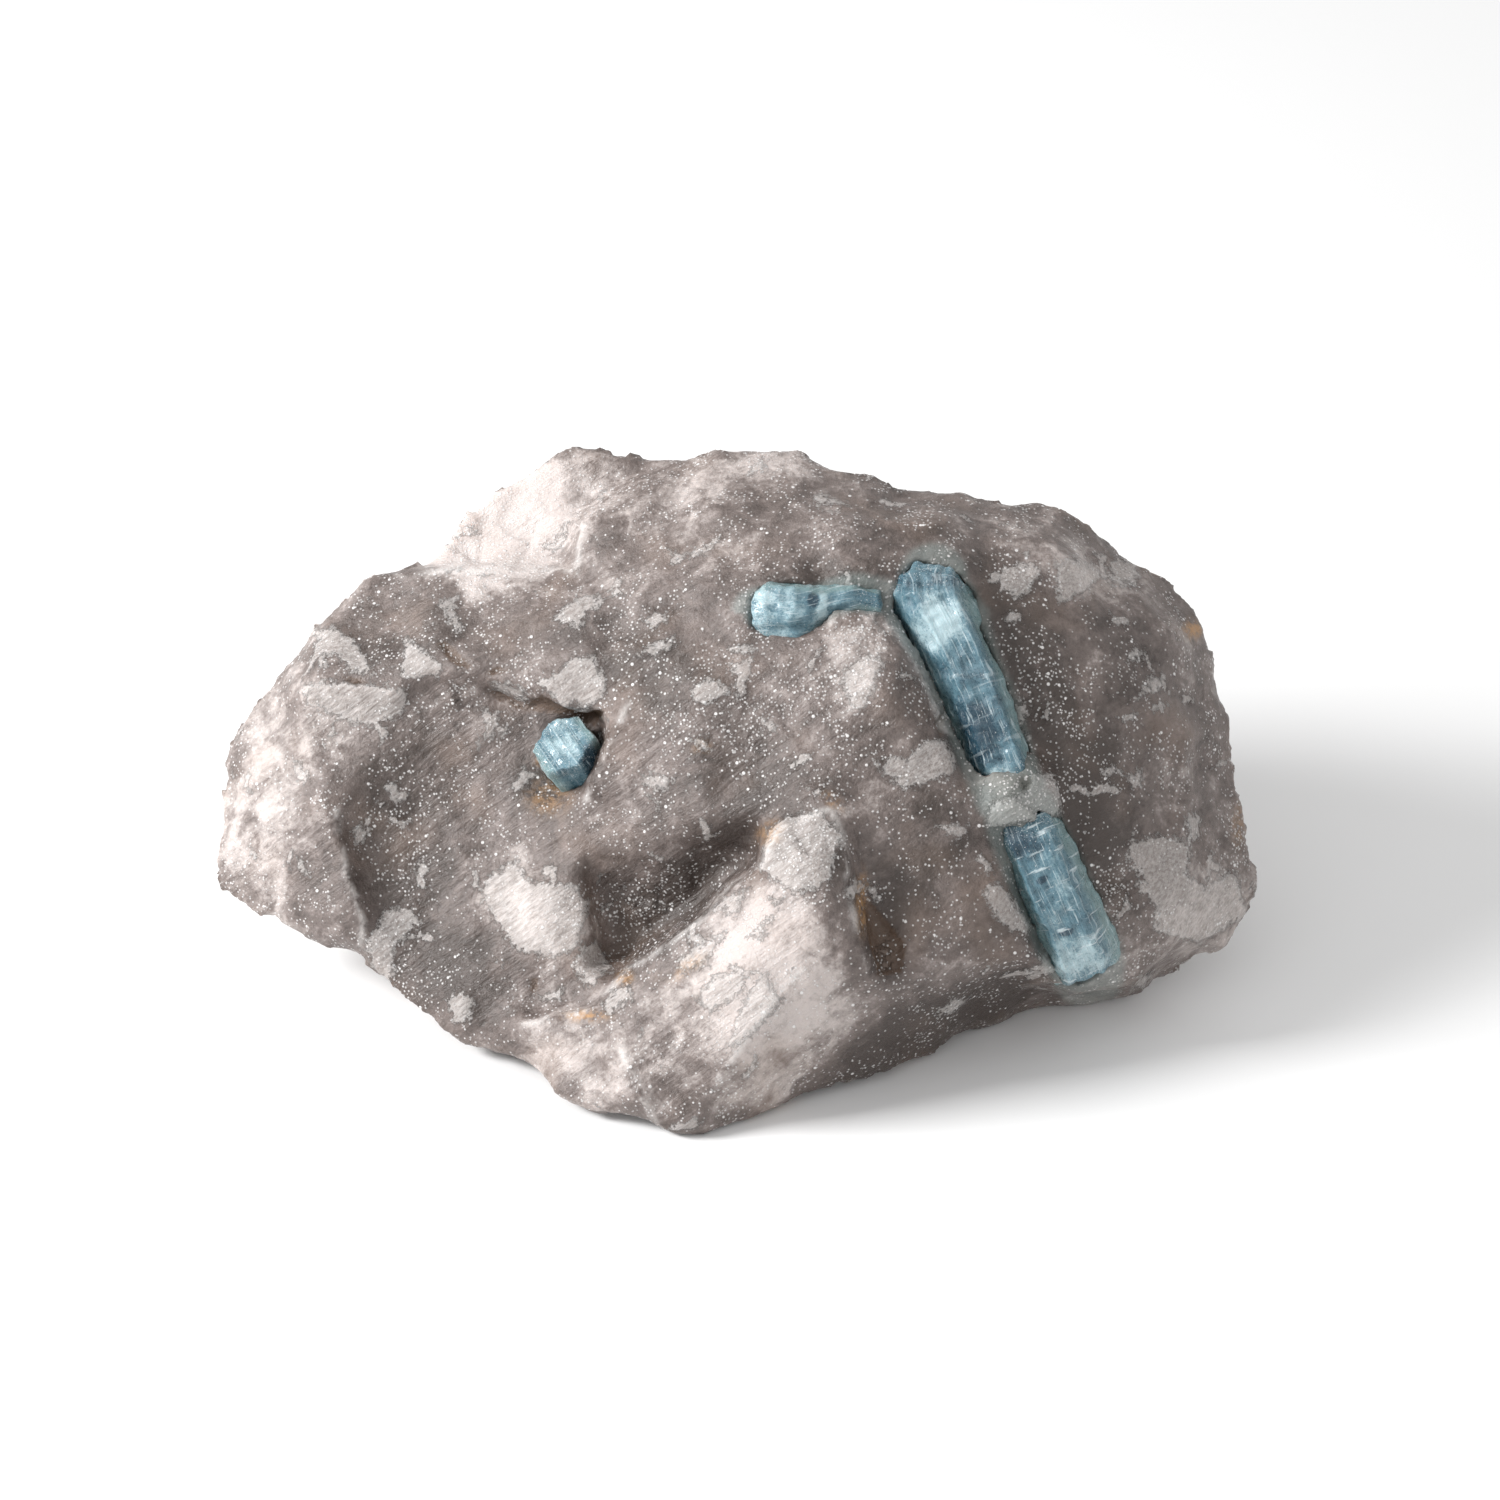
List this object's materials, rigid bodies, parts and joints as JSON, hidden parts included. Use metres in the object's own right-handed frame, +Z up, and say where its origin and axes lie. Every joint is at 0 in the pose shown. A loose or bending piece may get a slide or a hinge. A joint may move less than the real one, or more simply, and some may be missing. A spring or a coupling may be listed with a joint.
{
  "type": "aquamarine in quartz specimen",
  "caption": "Rough broken lump of smoky rose-grey quartz with blue-green aquamarine prisms grown into its sloping front; lies on a flat base.",
  "frame": {"origin": "under the middle of the stone's outer box, on the plane it rests on", "axes": "+X along the stone's length to the right, +Y from the sloping front with the crystals to the back, +Z up"},
  "size_m": [0.152, 0.0886, 0.0668],
  "materials": {
    "quartz": "translucent satin, broken surface with white flakes and sparkles",
    "aquamarine": "translucent blue-green, striated along the prism"
  },
  "bodies": {
    "root": {"quartz": "quartz", "long_crystal_upper": "aquamarine", "long_crystal_lower": "aquamarine", "side_crystal": "aquamarine", "small_crystal": "aquamarine"}
  },
  "joints": []
}
